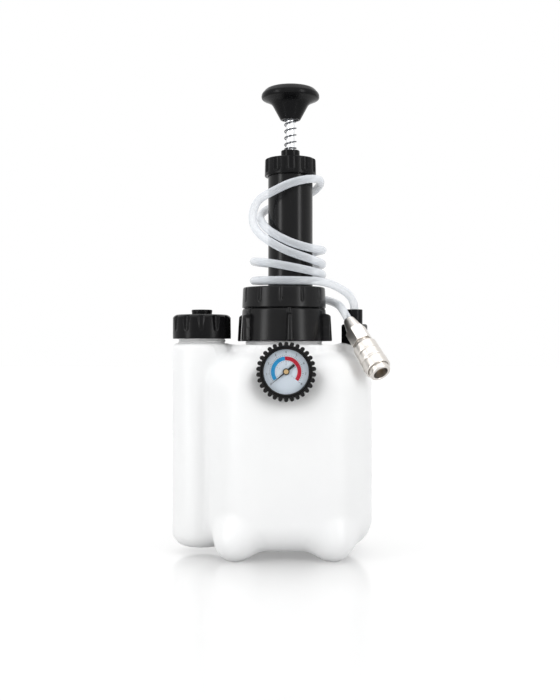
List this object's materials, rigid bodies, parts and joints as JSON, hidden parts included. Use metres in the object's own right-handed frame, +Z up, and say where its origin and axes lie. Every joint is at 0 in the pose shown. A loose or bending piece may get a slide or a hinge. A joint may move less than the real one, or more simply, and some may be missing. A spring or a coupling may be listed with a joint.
{
  "type": "brake fluid bleeder",
  "caption": "Hand-pumped brake fluid bleeder: two-chamber plastic tank on feet, piston pump with knob, pressure gauge, waste cap, and a supply hose wound round the pump to a quick coupler.",
  "frame": {"origin": "on the floor under the middle of the plan, hose and coupler left out", "axes": "+Z up along the pump, -Y towards the gauge's front, +X towards the outlet"},
  "size_m": [0.2117, 0.145, 0.464],
  "materials": {
    "tank_plastic": "translucent milky moulding, satin",
    "black_plastic": "moulded, satin to gloss",
    "rubber": "matt moulded rubber",
    "seal": "matt",
    "chrome": "polished plate",
    "spring_steel": "drawn wire and zinc plate",
    "nickel": "satin nickel plate",
    "brass": "turned",
    "dial": "printed, satin",
    "lens": "clear moulding",
    "hose": "milky clear tube, gloss"
  },
  "bodies": {
    "bleeder": {"tank": "tank_plastic", "tank_base": "tank_plastic", "tank_shoulder": "tank_plastic", "waste_tank": "tank_plastic", "tank_feet": "tank_plastic", "lid_nut": "black_plastic", "neck_gasket": "seal", "pump_bonnet": "black_plastic", "pump_ring": "black_plastic", "pump_barrel": "black_plastic", "barrel_seal": "rubber", "check_valve_seat": "black_plastic", "check_valve_screw": "spring_steel", "pump_cap": "black_plastic", "pump_collar": "black_plastic", "rod_bush": "seal", "rod_seal": "rubber", "buffer_spring": "spring_steel", "gauge_boot": "rubber", "gauge_case": "spring_steel", "gauge_bezel": "rubber", "gauge_lens": "lens", "gauge_dial": "dial", "gauge_movement": "brass", "bourdon_tube": "brass", "gauge_stem": "brass", "gauge_washer": "seal", "gauge_nut": "brass", "outlet_fitting": "black_plastic", "outlet_washer": "seal", "dip_tube": "hose", "dip_filter": "black_plastic", "hose": "hose", "coupler_tail": "nickel", "coupler_body": "nickel", "sleeve_spring": "spring_steel", "coupler_balls": "chrome", "valve_spring": "spring_steel", "coupler_ring": "spring_steel"},
    "buffer": {"spring_washer": "spring_steel"},
    "plunger": {"plunger_rod": "chrome", "knob": "black_plastic", "piston": "black_plastic", "piston_cup": "rubber", "piston_washer": "spring_steel", "piston_nut": "spring_steel"},
    "foot_valve": {"check_valve_disc": "rubber"},
    "waste_thread": {"waste_liner": "seal"},
    "waste_lid": {"waste_cap": "black_plastic"},
    "needle": {"gauge_needle": "rubber", "needle_hub": "brass"},
    "sleeve": {"coupler_sleeve": "nickel"},
    "poppet": {"coupler_valve": "brass"}
  },
  "joints": [
    {"name": "buffer_press", "type": "slide", "parent": "bleeder", "child": "buffer", "axis": [0, 0, 1], "range_m": [-0.014, 0], "stiffness_N_per_m": 1500, "springref_m": 0.004, "deforming": ["buffer_spring"]},
    {"name": "pump_stroke", "type": "slide", "parent": "buffer", "child": "plunger", "axis": [0, 0, 1], "range_m": [0, 0.15]},
    {"name": "foot_valve_lift", "type": "slide", "parent": "bleeder", "child": "foot_valve", "axis": [0, 0, -1], "range_m": [0, 0.0012], "stiffness_N_per_m": 120, "springref_m": -0.002},
    {"name": "waste_cap_turn", "type": "hinge", "parent": "waste_thread", "child": "waste_lid", "pos_m": [-0.0695, 0.007, 0.224], "axis": [0, 0, 1], "range_deg": [0, 720]},
    {"name": "waste_cap_rise", "type": "slide", "parent": "bleeder", "child": "waste_thread", "axis": [0, 0, 1], "range_m": [0, 0.008]},
    {"name": "needle_swing", "type": "hinge", "parent": "bleeder", "child": "needle", "pos_m": [0.0145, -0.053, 0.181], "axis": [0, 1, 0], "range_deg": [0, 260], "stiffness_Nm_per_rad": 0.0004, "springref_deg": -11.46},
    {"name": "sleeve_slide", "type": "slide", "parent": "bleeder", "child": "sleeve", "axis": [-0.3845, 0.5875, 0.712], "range_m": [0, 0.003], "stiffness_N_per_m": 900, "springref_m": -0.004, "deforming": ["sleeve_spring"]},
    {"name": "poppet_press", "type": "slide", "parent": "bleeder", "child": "poppet", "axis": [-0.3845, 0.5875, 0.712], "range_m": [0, 0.004], "stiffness_N_per_m": 500, "springref_m": -0.003, "deforming": ["valve_spring"]}
  ],
  "couplings": [
    {"joint": "waste_cap_turn", "follows": "waste_cap_rise", "rad_per_m": 1570.8}
  ]
}
